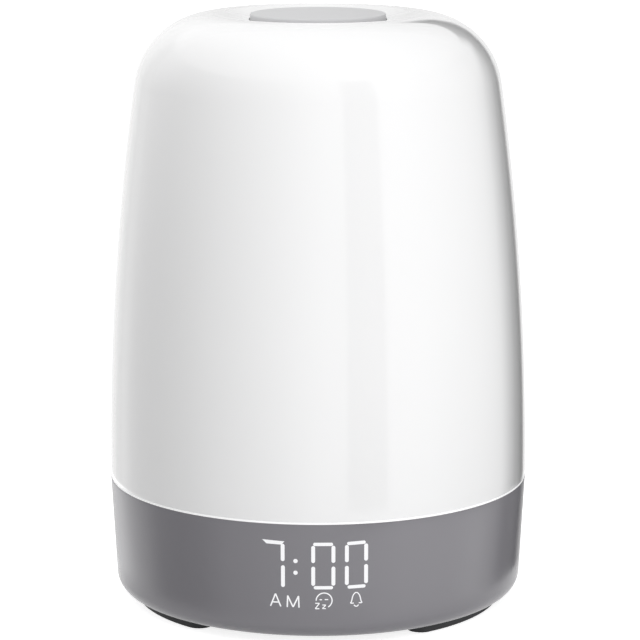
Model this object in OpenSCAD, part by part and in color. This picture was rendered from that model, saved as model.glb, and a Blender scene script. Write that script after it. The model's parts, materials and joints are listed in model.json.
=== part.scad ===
// Sunrise alarm clock: a translucent lamp dome on a round clock base.
// Millimetres. +Z is up, the front of the clock faces -Y, and z = 0 is the table under the feet.

/* [Body] */
// Diameter of the body at the seam between base and dome
body_d = 125; // [122:0.5:130]
// Height of the base housing, from its underside to the seam
base_h = 34.5; // [33.5:0.5:40]
// Wall of the base housing
base_wall = 2.5; // [2.2:0.1:3]
// Angle by which the base narrows towards the table, in degrees
base_taper = 3.1; // [2:0.1:4]
// Radius of the base's lower edge
base_corner_r = 5; // [3:0.25:6]
// Thickness of the bottom plate
plate_t = 2.2; // [2:0.1:2.6]

/* [Dome] */
// Height of the dome above the base
dome_h = 138.4; // [125:0.1:150]
// Wall of the dome
dome_wall = 2.4; // [2:0.1:2.8]
// Radius of the long curve up the dome's side
dome_side_r = 834; // [760:2:950]
// Radius of the dome's shoulder
dome_shoulder_r = 23.4; // [20:0.1:28]
// Slope of the shallow dish in the crown round the button, in degrees
dish_slope = 10; // [4:0.5:12]
// Depth of the lip that drops into the base
lip_depth = 3.6; // [3:0.1:4]
// Height of the white light seal in the seam
seal_h = 0.6; // [0.4:0.1:0.9]

/* [Snooze button] */
// Diameter of the button in the crown
button_d = 40; // [34:1:44]
// Gap round the button
button_gap = 0.3; // [0.2:0.05:0.5]
// How far the button's face lies below the crown
button_sink = 0.05; // [0:0.05:0.8]
// Thickness of the button's face
button_face_t = 2; // [1.6:0.1:2.6]
// Travel of the button
button_travel = 1; // [0.6:0.1:1.2]

/* [Rear keys] */
// Diameter of each key
key_d = 7.2; // [6:0.2:8]
// Distance between neighbouring keys
key_pitch = 11; // [10.8:0.1:11.4]
// Height of the key row above the inside of the bottom plate
key_rise = 15.3; // [14.5:0.1:16.5]
// How far the keys stand out of the housing
key_proud = 0.6; // [0.5:0.1:0.8]
// Travel of a key
key_travel = 0.4; // [0.3:0.05:0.5]

/* [Display] */
// Height of a digit
digit_h = 13.4; // [12:0.2:14]
// Width of a digit
digit_w = 6; // [5:0.1:6.4]
// Distance between neighbouring digits
digit_pitch = 9.35; // [9:0.05:10]
// Width of a lit segment
segment_w = 1; // [0.8:0.05:1.2]
// Distance of the middle of the digits below the seam
digit_drop = 11.5; // [11.4:0.1:12.5]
// Wall left in front of the hidden display
window_t = 0.9; // [0.7:0.05:1.1]

/* [Feet] */
// How far the feet stand proud of the underside
foot_proud = 2.5; // [1.8:0.1:3]
// Width of a foot
foot_w = 7.8; // [6:0.2:8.4]
// Angle that each foot covers, in degrees
foot_span = 50; // [40:1:54]

/* [Lamp and sound] */
// Width across the flats of the lamp column
column_flats = 22; // [20:0.5:24]
// Lamps in each strip on the column
strip_lamps = 7; // [5:1:8]
// Diameter of the speaker
speaker_d = 41; // [38:0.5:42]

/* [Hidden] */

// Clearances
fit_gap = 0.2;                          // between moulded pieces that drop into each other
play = 0.3;                             // between a moving piece and the wall that guides it
slip = 0.1;                             // between a switch's plunger and its bore
eps = 0.01;                             // overlap of two solids that are joined
past = 1;                               // how far a cutter runs past the face that it cuts

// Heights of the main levels above the table
body_r = body_d / 2;
z_under = foot_proud;                   // underside of the base
z_plate = z_under + plate_t;            // inside face of the bottom plate
z_rim = z_under + base_h;               // top edge of the base housing
z_dome = z_rim + seal_h;                // lower edge of the dome
z_crown = z_rim + dome_h;               // highest point of the dome
z_lip = z_rim - lip_depth;              // lower edge of the dome's lip
deck_t = 2;
z_deck = z_lip - deck_t;                // underside of the deck

// Base housing
flange_t = 2.2;
z_flange = z_plate + flange_t;
plate_edge = 0.4;                       // flat ring of housing left round the plate
flange_w = 6.6;
rim_chamfer = 0.15;

// The base's outer wall is one cone: its radius at height z, a distance inset inside the surface
function base_r(z, inset = 0) = body_r - (z_rim - z) * tan(base_taper) - inset / cos(base_taper);
function wall_y(x, z, inset) = sqrt(pow(base_r(z, inset), 2) - x * x);

corner_z = z_under + base_corner_r;
corner_x = base_r(corner_z, base_corner_r);
plate_r = corner_x - plate_edge;
flange_r = plate_r - flange_w;

// Fasteners
screw_r = 1.45;
screw_head_r = 2.8;
screw_head_h = 1.8;
cross_l = 3.2;
cross_w = 0.6;
pilot_gap = 0.03;                       // the screw's own threads fill this
boss_wall = 2.1;
boss_r = screw_r + boss_wall;

// Deck, its pillars and the dome's bosses
deck_r = base_r(z_deck, base_wall) - 2 * fit_gap;
pillar_ring = flange_r - 9;
pillar_z = z_plate + 8;                 // where the deck's pillars meet the plate's bosses
pillar_screw_l = 12;
pillar_head_z = pillar_z - 2.6;         // how deep the plate's screws are sunk
plate_boss_r = screw_head_r + 1.4;
lip_r = base_r(z_lip, base_wall) - fit_gap;
lip_wall = 1.6;
dome_boss_h = 8;
dome_boss_r = screw_r + 1.6;
dome_boss_ring = lip_r - lip_wall - dome_boss_r + 0.4;
dome_screw_l = 8;
dome_boss_angles = [-15, 15, 165, 195];
pillar_angles = [45, 135, 225, 315];

// Circuit boards
board_t = 1.6;
board_drop = 6.6;
z_board = z_deck - board_drop;          // top of the main board
board_r = pillar_ring + boss_r;
board_post_r = 3;
board_screw_ring = board_r - 13.5;
board_screw_angles = [0, 120, 240];
short_screw_l = 5;
rail_w = 5;
rail_wall = 1.6;                        // on each side of the board in the rail
rail_bite = 1.6;                        // how deep a board's edge sits in its rail
header_w = 16;                          // pin headers from the upright boards to the main board
header_h = 2.5;
header_bite = 3;

// Display, which looks out through a thin patch of the housing's front
hour_x = -13.1;                         // the hour's last digit
minute_x = 1.8;                         // the minutes' first digit
colon_x = -6.55;
digit_x = [hour_x - digit_pitch, hour_x, minute_x, minute_x + digit_pitch];
digit_z = z_rim - digit_drop;
colon_rise = 1.75;
colon_r = 0.6;
icon_x = [-12.5, -7.4, 1.75, 11.3];
icon_cell = [4, 4.6];
icon_z = digit_z - digit_h / 2 - icon_cell[1] / 2 - 1.5;
display_margin = 1.5;                   // from the outer digits to the display's ends
display_x0 = digit_x[0] - digit_w / 2 - display_margin;
display_x1 = digit_x[3] + digit_w / 2 + display_margin;
display_top = digit_z + digit_h / 2 + 0.6;
display_foot = icon_z - icon_cell[1] / 2 - 0.9;
film_t = 0.3;
film_gap = 0.05;                        // from the film to the wall in front of it
film_back = 0.15;                       // from the film to the reflector behind it
display_far = max(abs(display_x0), abs(display_x1));
reflector_min = 5.4;                    // depth of the reflector at its thin lower corner
display_y = -(wall_y(display_far, display_foot, base_wall) - reflector_min);
window_margin = 0.5;                    // from the display to the edge of its pocket
display_board_x0 = display_x0 - 1.5;
display_board_x1 = display_x1 + 1.5;
display_board_inset = 0.4;              // the board is lower than the reflector by this at each edge

// Rear keys, named from the left as seen from behind
key_names = ["volume", "sound", "clock", "alarm", "dimmer"];
key_z = z_plate + key_rise;
key_r = key_d / 2;
key_flange_r = key_r + 1.3;
key_flange_t = 1.5;
key_stem_r = 1.5;
key_far = 2 * key_pitch + key_flange_r;
plunger_r = 1.7;
plunger_show = 0.8;                     // how far a plunger stands out of its switch
plunger_l = 1.8;
switch_side = 6;
switch_t = 3.4;
key_back = wall_y(key_far, key_z - key_flange_r, base_wall + play) - key_flange_t;
plunger_y = key_back - 0.2;
switch_y = plunger_y - plunger_show;
key_board_y = switch_y - switch_t;
key_board_w = 2 * key_far + 6;
key_board_foot = key_z - switch_side / 2 - 0.8;
function key_x(i) = (2 - i) * key_pitch;

// Snooze button and its switch
button_r = button_d / 2;
opening_r = button_r + button_gap;
collar_depth = 8;
collar_wall = 1.8;
skirt_wall = 1.6;
catch_t = 1.2;
catch_w = 1.2;
z_collar = z_crown - collar_depth;
z_face = z_crown - button_sink - button_face_t; // underside of its face
spring_l = 14;
z_carrier = z_face - spring_l;          // top of the switch carrier
carrier_t = 2;
carrier_plug = 6;                       // how deep the carrier reaches into the lamp column
snooze_switch_side = 12;
snooze_switch_t = 4.3;
snooze_plunger_r = 3.4;
snooze_plunger_show = 1.5;
snooze_plunger_l = 3;
z_snooze_switch = z_carrier + board_t;
z_snooze_plunger = z_snooze_switch + snooze_switch_t + snooze_plunger_show;
spring_r = 12.8;
spring_wire = 1.2;
spring_turns = 4;
spring_gap = 0.05;                      // at each end of the spring

// Lamp column
column_wall = 1.6;
column_r = column_flats / sqrt(3);      // to a corner of the hexagon
column_foot_r = column_r + 7.5;
column_foot_t = 2;
column_screw_ring = column_r + 3.6;
column_screw_angles = [30, 150, 270];
strip_w = 8;
strip_t = 1;
strip_margin = 12;
z_column_top = z_carrier - carrier_t;
lamp_size = [3.5, 2.8, 0.8];
lead_r = 1.1;
lead_hole_r = 5;                        // in the deck and the switch carrier

// Speaker
speaker_r = speaker_d / 2;
gasket_t = 0.8;
z_speaker = z_plate + gasket_t;
speaker_rim_t = 1.6;
magnet_h = 5;
yoke_h = 1;
speaker_headroom = 1.5;                 // from the speaker to the main board
z_magnet = z_board - board_t - speaker_headroom - yoke_h - magnet_h;
basket_h = z_magnet - z_speaker - speaker_rim_t;
speaker_boss_r = 2.4;
speaker_screw_ring = speaker_r + speaker_boss_r + 0.4;
speaker_screw_angles = [30, 150, 270];
speaker_screw_l = 3;
washer_t = 0.6;
basket_r = 12.5;
coil_r = 6.4;
slot_w = 1.5;
slot_pitch = 3.2;
slot_rib = 2;
gasket_w = 3;
speaker_lead_r = 0.6;

// Power inlet at the rear, under the keys
usb_w = 8.94;
usb_h = 3.26;
usb_l = 7.4;
usb_wall = 0.3;
tongue = [6.4, 0.7];                    // width and thickness of the inlet's tongue
z_power = z_plate + 4;                  // underside of the power board
z_usb = z_power + board_t + usb_h / 2;
usb_sink = 0.5;                         // how far the inlet's mouth lies inside the wall's face
usb_back = wall_y(usb_w / 2, z_usb, usb_sink);
usb_floor = usb_back - usb_l + 1.2;     // closed end of the inlet's space
power_plug = [6, 4.5, 3.5];
power_plug_y = key_board_y - board_t - 2 * play - power_plug[1];
power_board_w = 24;
power_board_y = power_plug_y - 1;
power_board_end = wall_y(power_board_w / 2, z_power, base_wall + play);
power_screw_x = 8;
power_screw_y = power_board_y + 3.2;
power_lead_r = 0.7;

// Feet
foot_recess = 0.8;
foot_r = plate_r - 0.6;
foot_azimuth = 60;                      // of a front foot from the middle between the front feet
foot_turn = -3.5;                       // of that middle from the clock's front

// ---- profiles -------------------------------------------------------------------------------

// Points of an arc about a centre, from angle a to angle b
function arc(centre, r, a, b, steps) = [for (i = [0:steps])
    let (t = a + (b - a) * i / steps) [centre[0] + r * cos(t), centre[1] + r * sin(t)]];

// The dome's half outline is a long side arc and a shoulder arc that run into each other. At its top the
// shoulder turns inwards over a crest and slopes down to the button's opening.
side_c = [body_r - dome_side_r, z_dome];
side_gap = dome_side_r - dome_shoulder_r;
shoulder_z = z_crown - dome_shoulder_r;
shoulder_c = [side_c[0] + sqrt(pow(side_gap, 2) - pow(shoulder_z - z_dome, 2)), shoulder_z];
side_end = atan2(shoulder_c[1] - side_c[1], shoulder_c[0] - side_c[0]);
crest_round = 14;
crest_c = [shoulder_c[0], z_crown - crest_round];

// Height of the dish's surface at radius r, inset inside the surface
function dish_z(r, inset) = crest_c[1] + (crest_round - inset) / cos(dish_slope)
    - (crest_c[0] - r) * tan(dish_slope);

// The dome's curve from its lower edge over the crest to radius r_end in the dish
function dome_curve(inset, r_end) = concat(
    arc(side_c, dome_side_r - inset, 0, side_end, 16),
    arc(shoulder_c, dome_shoulder_r - inset, side_end + 4, 90, 18),
    arc(crest_c, crest_round - inset, 90 + dish_slope / 5, 90 + dish_slope, 4),
    [[r_end, dish_z(r_end, inset)]]);
function backwards(list) = [for (i = [len(list) - 1:-1:0]) list[i]];

// ---- shared shapes --------------------------------------------------------------------------

// The base's outer cone moved inwards by inset, between two heights
module base_cone(inset, z0, z1) {
    translate([0, 0, z0])
        cylinder(h = z1 - z0, r1 = base_r(z0, inset), r2 = base_r(z1, inset), $fn = 96);
}

// A round bar along +Y that starts at y0
module bar_y(x, y0, z, r, l) {
    translate([x, y0, z]) rotate([-90, 0, 0]) cylinder(h = l, r = r, $fn = 40);
}

// Children at each angle of a ring
module around(ring, angles) {
    for (a = angles) rotate([0, 0, a]) translate([ring, 0, 0]) children();
}

// A pan-head screw whose shank points up from the underside of its head at z = 0
module screw(l) {
    difference() {
        union() {
            translate([0, 0, -screw_head_h]) cylinder(h = screw_head_h, r = screw_head_r, $fn = 32);
            cylinder(h = l, r = screw_r, $fn = 32);
        }
        for (a = [0, 90]) rotate([0, 0, a])
            translate([-cross_l / 2, -cross_w / 2, -screw_head_h - eps]) cube([cross_l, cross_w, 1]);
    }
}

// A screw's hole, and the round post that may hold it, between two heights
module pilot(z0, z1) {
    translate([0, 0, z0]) cylinder(h = z1 - z0, r = screw_r + pilot_gap, $fn = 32);
}
module boss(z0, z1, r) {
    translate([0, 0, z0 - eps]) cylinder(h = z1 - z0 + eps, r = r, $fn = 32);
}

// A spring coiled upwards about Z: a round wire swept along a helix with closed flat ends
function helix_point(i, n, r, l, turns) = let (t = i / n)
    [r * cos(360 * turns * t), r * sin(360 * turns * t), l * t];
module coil(r, wire, l, turns) {
    n = round(turns * 20);
    sides = 8;
    climb = atan2(l, 2 * PI * r * turns);
    points = [for (i = [0:n]) let (a = 360 * turns * i / n, p = helix_point(i, n, r, l, turns))
        for (s = [0:sides - 1]) let (b = 360 * s / sides, u = wire / 2 * cos(b), v = wire / 2 * sin(b))
            [p[0] + u * cos(a) + v * sin(climb) * sin(a), p[1] + u * sin(a) - v * sin(climb) * cos(a),
             p[2] + v * cos(climb)]];
    faces = concat(
        [[for (s = [0:sides - 1]) s]],
        [for (i = [0:n - 1]) for (s = [0:sides - 1]) let (q = (s + 1) % sides)
            [i * sides + s, (i + 1) * sides + s, (i + 1) * sides + q, i * sides + q]],
        [[for (s = [sides - 1:-1:0]) n * sides + s]]);
    polyhedron(points = points, faces = faces);
}

// ---- base -----------------------------------------------------------------------------------

module base_profile() {
    polygon(concat(
        [[base_r(z_rim) - rim_chamfer, z_rim], [base_r(z_rim - rim_chamfer), z_rim - rim_chamfer]],
        arc([corner_x, corner_z], base_corner_r, -base_taper, -90, 14),
        [[plate_r + fit_gap, z_under], [plate_r + fit_gap, z_plate], [flange_r, z_plate],
         [flange_r, z_flange], [base_r(z_flange, base_wall), z_flange],
         [base_r(z_rim, base_wall), z_rim]]));
}

// The patch where the wall is thinned from inside for the hidden display
module window_pocket() {
    z0 = display_foot - window_margin;
    z1 = display_top + window_margin;
    intersection() {
        base_cone(window_t, z0, z1);
        translate([display_x0 - window_margin, -body_r, z0])
            cube([display_x1 - display_x0 + 2 * window_margin, body_r + display_y, z1 - z0]);
    }
}

// A flat tube with round sides, lying along Y
module usb_form(w, h, y0, l) {
    translate([0, y0, z_usb]) rotate([-90, 0, 0]) union() {
        translate([-(w - h) / 2, -h / 2, 0]) cube([w - h, h, l]);
        for (side = [-1, 1]) translate([side * (w - h) / 2, 0, 0]) cylinder(h = l, r = h / 2, $fn = 32);
    }
}

module base_housing() {
    color("#77777b") difference() {
        rotate_extrude($fn = 128) base_profile();
        window_pocket();
        for (i = [0:4]) bar_y(key_x(i), key_back - past, key_z, key_r + play, body_r);
        usb_form(usb_w + 2 * play, usb_h + 2 * play, usb_floor, body_r);
    }
}

// One foot's outline: an arc-shaped pad with round ends, grown by a margin
module foot_outline(grow) {
    mid = foot_r - foot_w / 2;
    half = foot_w / 2 + grow;
    span = foot_span / 2 - foot_w / 2 / mid * 180 / PI;
    end = [for (a = [-span, span]) mid * [cos(a), sin(a)]];
    polygon(concat(
        arc([0, 0], mid + half, -span, span, 12),
        arc(end[1], half, span + 15, span + 165, 10),
        backwards(arc([0, 0], mid - half, -span, span, 12)),
        arc(end[0], half, -span + 195, -span + 345, 10)));
}

module at_foot(azimuth) {
    rotate([0, 0, azimuth + foot_turn - 90]) children();
}

module foot(azimuth) {
    color("#2f2f31") at_foot(azimuth)
        linear_extrude(height = z_under + foot_recess) foot_outline(0);
}

// Sound slots: rings of arcs, parted by ribs
module grille_slots() {
    for (ring = [1:floor((speaker_r - gasket_w - slot_w / 2) / slot_pitch)]) {
        mid = ring * slot_pitch;
        rib = slot_rib / mid * 180 / PI;
        for (k = [0:2]) rotate([0, 0, 120 * k + 60 * (ring % 2) + rib / 2])
            rotate_extrude(angle = 120 - rib, $fn = 64)
                translate([mid - slot_w / 2, z_under - past]) square([slot_w, plate_t + 2 * past]);
    }
}

module bottom_plate() {
    color("#6c6c70") difference() {
        union() {
            translate([0, 0, z_under]) cylinder(h = plate_t, r = plate_r, $fn = 128);
            around(pillar_ring, pillar_angles) boss(z_plate, pillar_z, plate_boss_r);
            around(speaker_screw_ring, speaker_screw_angles)
                boss(z_plate, z_speaker + speaker_rim_t, speaker_boss_r);
            at_power_screws() boss(z_plate, z_power, board_post_r);
        }
        grille_slots();
        around(pillar_ring, pillar_angles) {
            pilot(z_under, pillar_z + past);
            translate([0, 0, z_under - past])
                cylinder(h = pillar_head_z - z_under + past, r = screw_head_r + play, $fn = 32);
        }
        around(speaker_screw_ring, speaker_screw_angles)
            pilot(z_speaker + speaker_rim_t - speaker_screw_l - fit_gap, z_power);
        at_power_screws() pilot(z_power + board_t - short_screw_l - fit_gap, z_power + past);
        for (azimuth = [-foot_azimuth, foot_azimuth, 180 - foot_azimuth, 180 + foot_azimuth])
            at_foot(azimuth) translate([0, 0, z_under - past])
                linear_extrude(height = past + foot_recess) foot_outline(fit_gap / 2);
    }
}

module bottom_screws() {
    color("#8e8e8e") around(pillar_ring, pillar_angles)
        translate([0, 0, pillar_head_z]) screw(pillar_screw_l);
}

// ---- dome and deck --------------------------------------------------------------------------

module dome_profile() {
    inner_edge = body_r - dome_wall;
    flange_top = z_dome + 2;
    inner = [for (p = dome_curve(dome_wall, opening_r + collar_wall)) if (p[1] > flange_top) p];
    polygon(concat(
        [[body_r - rim_chamfer, z_dome]],
        [for (p = dome_curve(0, opening_r)) if (p[1] > z_dome + rim_chamfer) p],
        [[opening_r, z_collar], [opening_r + collar_wall, z_collar]],
        backwards(inner),
        [[inner_edge, flange_top], [lip_r - lip_wall, flange_top], [lip_r - lip_wall, z_lip],
         [lip_r, z_lip], [lip_r, z_dome]]));
}

module diffuser_dome() {
    color("#f4f4f4") difference() {
        union() {
            rotate_extrude($fn = 128) dome_profile();
            around(dome_boss_ring, dome_boss_angles)
                translate([0, 0, z_lip]) cylinder(h = dome_boss_h, r = dome_boss_r, $fn = 32);
        }
        around(dome_boss_ring, dome_boss_angles) pilot(z_lip - past, z_deck + dome_screw_l + fit_gap);
    }
}

module light_seal() {
    color("white") rotate_extrude($fn = 128)
        translate([lip_r + slip, z_rim]) square([body_r - lip_r - 2 * slip, seal_h]);
}

// A post under the deck with a slot for the edge of an upright board, whose end is at x = 0 and
// which lies towards -X; foot is the post's lower end
module rail(y_front, foot) {
    difference() {
        translate([-rail_bite, y_front - rail_wall, foot])
            cube([rail_w, board_t + 2 * rail_wall, z_deck - foot + eps]);
        translate([-rail_bite - past, y_front, foot - past])
            cube([past + rail_bite + slip, board_t, z_deck - foot + past]);
    }
}
module rail_pair(x0, x1, y_front, foot) {
    translate([x1, 0, 0]) rail(y_front, foot);
    translate([x0, 0, 0]) mirror([1, 0, 0]) rail(y_front, foot);
}

module deck_plate() {
    color("#ececec") difference() {
        union() {
            translate([0, 0, z_deck]) cylinder(h = deck_t, r = deck_r, $fn = 128);
            around(pillar_ring, pillar_angles)
                translate([0, 0, pillar_z]) cylinder(h = z_deck - pillar_z + eps, r = boss_r, $fn = 32);
            around(board_screw_ring, board_screw_angles)
                translate([0, 0, z_board]) cylinder(h = z_deck - z_board + eps, r = board_post_r, $fn = 32);
            rail_pair(-key_board_w / 2, key_board_w / 2, key_board_y - board_t, key_board_foot);
            rail_pair(display_board_x0, display_board_x1, display_y, display_foot + display_board_inset);
        }
        around(pillar_ring, pillar_angles)
            pilot(pillar_z - past, pillar_head_z + pillar_screw_l + fit_gap);
        around(board_screw_ring, board_screw_angles)
            pilot(z_board - past, z_board - board_t + short_screw_l + fit_gap);
        around(dome_boss_ring, dome_boss_angles) pilot(z_deck - past, z_lip + past);
        around(column_screw_ring, column_screw_angles) pilot(z_deck - past, z_lip + past);
        translate([0, 0, z_deck - past]) cylinder(h = deck_t + 2 * past, r = lead_hole_r, $fn = 48);
        translate([display_board_x0 - slip, -body_r, z_deck - past])
            cube([display_board_x1 - display_board_x0 + 2 * slip,
                  body_r + display_y + board_t + slip, deck_t + 2 * past]);
    }
}

module deck_screws() {
    color("#8e8e8e") around(dome_boss_ring, dome_boss_angles) translate([0, 0, z_deck]) screw(dome_screw_l);
}

// ---- lamp column ----------------------------------------------------------------------------

column_inner_r = column_r - column_wall * 2 / sqrt(3);
module lamp_column() {
    color("white") difference() {
        union() {
            translate([0, 0, z_lip]) cylinder(h = z_column_top - z_lip, r = column_r, $fn = 6);
            translate([0, 0, z_lip]) cylinder(h = column_foot_t, r = column_foot_r, $fn = 64);
        }
        translate([0, 0, z_lip - past])
            cylinder(h = z_column_top - z_lip + 2 * past, r = column_inner_r, $fn = 6);
        around(column_screw_ring, column_screw_angles) pilot(z_lip - past, z_lip + column_foot_t + past);
    }
}

module column_screws() {
    color("#8e8e8e") around(column_screw_ring, column_screw_angles)
        translate([0, 0, z_lip + column_foot_t]) rotate([180, 0, 0]) screw(short_screw_l);
}

strip_z0 = z_lip + strip_margin;
strip_l = z_column_top - strip_margin / 2 - strip_z0;
module lamp_strips() {
    color("#f2f2ee") for (k = [0:5]) rotate([0, 0, 60 * k + 30])
        translate([column_flats / 2, -strip_w / 2, strip_z0]) cube([strip_t, strip_w, strip_l]);
}

module lamps() {
    color("#ffe9a8") for (k = [0:5], i = [0:strip_lamps - 1]) rotate([0, 0, 60 * k + 30])
        translate([column_flats / 2 + strip_t, -lamp_size[1] / 2,
                   strip_z0 + (i + 0.5) * strip_l / strip_lamps - lamp_size[0] / 2])
            cube([lamp_size[2], lamp_size[1], lamp_size[0]]);
}

module switch_carrier() {
    color("#e6e6e6") difference() {
        union() {
            translate([0, 0, z_column_top]) cylinder(h = carrier_t, r = spring_r + 2.4, $fn = 64);
            translate([0, 0, z_column_top - carrier_plug])
                cylinder(h = carrier_plug + eps, r = column_inner_r - fit_gap, $fn = 6);
        }
        translate([0, 0, z_column_top - carrier_plug - past])
            cylinder(h = carrier_t + carrier_plug + 2 * past, r = lead_hole_r, $fn = 48);
    }
}

module switch_board() {
    color("#2f6b3c") translate([0, 0, z_carrier])
        cylinder(h = board_t, r = spring_r - spring_wire / 2 - 0.6, $fn = 64);
}

module snooze_switch() {
    color("#303032") difference() {
        translate([-snooze_switch_side / 2, -snooze_switch_side / 2, z_snooze_switch])
            cube([snooze_switch_side, snooze_switch_side, snooze_switch_t]);
        translate([0, 0, z_snooze_plunger - snooze_plunger_l - button_travel - slip])
            cylinder(h = snooze_plunger_l + 2 * past, r = snooze_plunger_r + slip, $fn = 48);
    }
}

module snooze_plunger() {
    color("#b9b9b4") translate([0, 0, z_snooze_plunger - snooze_plunger_l])
        cylinder(h = snooze_plunger_l, r = snooze_plunger_r, $fn = 48);
}

module snooze_spring() {
    color("#b8b8ba") translate([0, 0, z_carrier + spring_wire / 2 + spring_gap])
        coil(spring_r, spring_wire, spring_l - spring_wire - 2 * spring_gap, spring_turns);
}

// The button is a flat cap with a skirt, a catch rim and a stem
module button_profile() {
    edge_round = 0.5;
    z_edge = z_crown - button_sink;
    z_catch = z_collar - play;
    polygon(concat(
        [[0, z_edge]],
        arc([button_r - edge_round, z_edge - edge_round], edge_round, 90, 0, 4),
        [[button_r, z_catch], [opening_r + catch_w, z_catch], [opening_r + catch_w, z_catch - catch_t],
         [button_r - skirt_wall, z_catch - catch_t], [button_r - skirt_wall, z_face],
         [snooze_plunger_r + 1, z_face], [snooze_plunger_r + 0.4, z_snooze_plunger],
         [0, z_snooze_plunger]]));
}

module snooze_button() {
    color("#a9a9ac") rotate_extrude($fn = 96) button_profile();
}

module switch_lead() {
    z0 = z_board + lead_socket[2];
    color("#333333") translate([0, 0, z0]) cylinder(h = z_carrier - z0, r = lead_r, $fn = 24);
}

// ---- display --------------------------------------------------------------------------------

// One segment cell: a bar with pointed ends, l long, lying along X in the XZ plane
module segment_cell(l) {
    w = segment_w / 2;
    polygon([[-l / 2, 0], [-l / 2 + w, w], [l / 2 - w, w], [l / 2, 0], [l / 2 - w, -w], [-l / 2 + w, -w]]);
}

segment_gap = 0.35;
segment_h = (digit_h - segment_w) / 2;  // from one level bar's centre to the next
segment_v = digit_w - segment_w;        // between the centres of the two upright columns
module digit_cells() {
    for (k = [-1:1]) translate([0, k * segment_h]) segment_cell(segment_v - segment_gap);
    for (sx = [-1, 1], sz = [-1, 1])
        translate([sx * segment_v / 2, sz * segment_h / 2]) rotate(90)
            segment_cell(segment_h - segment_gap);
}

module display_cells() {
    for (x = digit_x) translate([x, digit_z]) digit_cells();
    for (s = [-1, 1]) translate([colon_x, digit_z + s * colon_rise]) circle(r = colon_r, $fn = 24);
    for (x = icon_x) translate([x - icon_cell[0] / 2, icon_z - icon_cell[1] / 2]) square(icon_cell);
}

// Everything in front of the lamp board that the display takes up, between two heights
module display_space(z0, z1) {
    translate([display_x0, -body_r, z0])
        cube([display_x1 - display_x0, body_r + display_y, z1 - z0]);
}

module display_reflector() {
    color("#f6f6f6") difference() {
        intersection() {
            display_space(display_foot, display_top);
            base_cone(window_t + film_gap + film_t + film_back, display_foot - past, display_top + past);
        }
        translate([0, display_y + past, 0]) rotate([90, 0, 0])
            linear_extrude(height = body_r) display_cells();
    }
}

module display_film() {
    color("#dcdce0") intersection() {
        difference() {
            base_cone(window_t + film_gap, display_foot, display_top);
            base_cone(window_t + film_gap + film_t, display_foot - past, display_top + past);
        }
        display_space(display_foot - past, display_top + past);
    }
}

module display_board() {
    foot = display_foot + display_board_inset;
    color("#2f6b3c") translate([display_board_x0, display_y, foot])
        cube([display_board_x1 - display_board_x0, board_t, display_top - display_board_inset - foot]);
}

// A lamp for each cell, just narrower than the cell
lamp_side = segment_w - 2 * slip;
lamp_h = 0.5;
module display_lamp(x, z) {
    translate([x - lamp_side / 2, display_y - lamp_h, z - lamp_side / 2])
        cube([lamp_side, lamp_h, lamp_side]);
}

module display_lamps() {
    color("#fffbe8") {
        for (x = digit_x) {
            for (k = [-1:1]) display_lamp(x, digit_z + k * segment_h);
            for (sx = [-1, 1], sz = [-1, 1])
                display_lamp(x + sx * segment_v / 2, digit_z + sz * segment_h / 2);
        }
        for (s = [-1, 1]) display_lamp(colon_x, digit_z + s * colon_rise);
        for (x = icon_x) display_lamp(x, icon_z);
    }
}

// ---- boards ---------------------------------------------------------------------------------

module main_board() {
    color("#2f6b3c") difference() {
        translate([0, 0, z_board - board_t]) cylinder(h = board_t, r = board_r, $fn = 96);
        around(pillar_ring, pillar_angles) translate([0, 0, z_board - board_t - past])
            cylinder(h = board_t + 2 * past, r = boss_r + 2 * play, $fn = 32);
        around(board_screw_ring, board_screw_angles) pilot(z_board - board_t - past, z_board + past);
    }
}

// Parts on the main board, each [angle, distance from the middle, width, depth, height]; a zero
// depth is a round can. They lie between the board's screws.
lead_socket = [6, 5, 4];
board_part_list = [
    concat([0, 0], lead_socket),
    [60, 16, 7, 7, 1], [60, 28, 5, 0, 5.2], [88, 15, 6, 6, 3], [35, 12, 3.2, 5, 1.6],
    [-60, 14, 8, 4, 1.2], [-60, 28, 5, 0, 5.2], [-88, 21, 5, 5, 1]
];
module board_parts() {
    color("#26262a") translate([0, 0, z_board]) for (p = board_part_list)
        rotate([0, 0, p[0]]) translate([p[1], 0, 0]) {
            if (p[3] > 0) translate([-p[2] / 2, -p[3] / 2, 0]) cube([p[2], p[3], p[4]]);
            else cylinder(h = p[4], r = p[2] / 2, $fn = 32);
        }
}

module board_screws() {
    color("#8e8e8e") around(board_screw_ring, board_screw_angles)
        translate([0, 0, z_board - board_t]) screw(short_screw_l);
}

cell_x = -15;
cell_r = 10;
cell_t = 3.2;
cell_rim_t = 2.4;
holder_floor = 0.8;
holder_h = 3;
module cell_holder() {
    color("#39393c") translate([cell_x, 0, z_board]) difference() {
        cylinder(h = holder_h, r = cell_r + 1.4, $fn = 64);
        translate([0, 0, holder_floor]) cylinder(h = holder_h, r = cell_r + fit_gap, $fn = 64);
        translate([cell_r * 0.6, -cell_r * 2, holder_floor]) cube([cell_r * 2, cell_r * 4, holder_h]);
    }
}

module coin_cell() {
    color("#c9c9cb") translate([cell_x, 0, z_board + holder_floor]) {
        cylinder(h = cell_rim_t, r = cell_r, $fn = 64);
        cylinder(h = cell_t, r = cell_r - 1.4, $fn = 64);
    }
}

// A pin header that joins an upright board to the main board's edge
module header(y0, y1) {
    color("#1f1f22") translate([-header_w / 2, min(y0, y1), z_board])
        cube([header_w, abs(y1 - y0), header_h]);
}

module display_header() {
    header(display_y + board_t, header_bite - board_r);
}

module key_header() {
    header(key_board_y - board_t, board_r - header_bite);
}

// ---- rear keys ------------------------------------------------------------------------------

module key_board() {
    color("#2f6b3c") translate([-key_board_w / 2, key_board_y - board_t, key_board_foot])
        cube([key_board_w, board_t, z_deck - key_board_foot]);
}

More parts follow.
